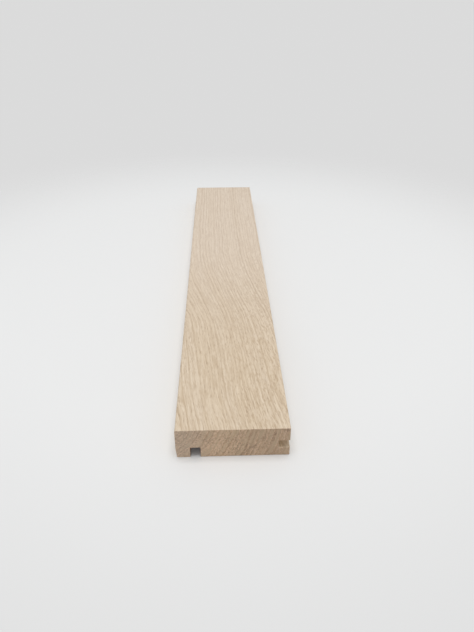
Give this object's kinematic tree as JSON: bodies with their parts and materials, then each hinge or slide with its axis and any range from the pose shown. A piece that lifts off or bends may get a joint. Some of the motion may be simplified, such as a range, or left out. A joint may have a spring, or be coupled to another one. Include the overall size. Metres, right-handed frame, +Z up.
{
  "type": "threshold strip",
  "caption": "Solid oak threshold strip, flat on top, with a tongue groove along its floor-side edge and a narrow groove under its outer edge.",
  "frame": {"origin": "middle of the underside, on the surface that the strip lies on", "axes": "+X across the strip towards the side with the edge groove, +Y along the strip and its grain, +Z up out of the walking face"},
  "size_m": [0.065, 0.43, 0.02],
  "materials": {
    "oak": "bare planed oak, unsealed, with sawn end grain"
  },
  "bodies": {
    "root": {"oak_strip": "oak"}
  },
  "joints": []
}
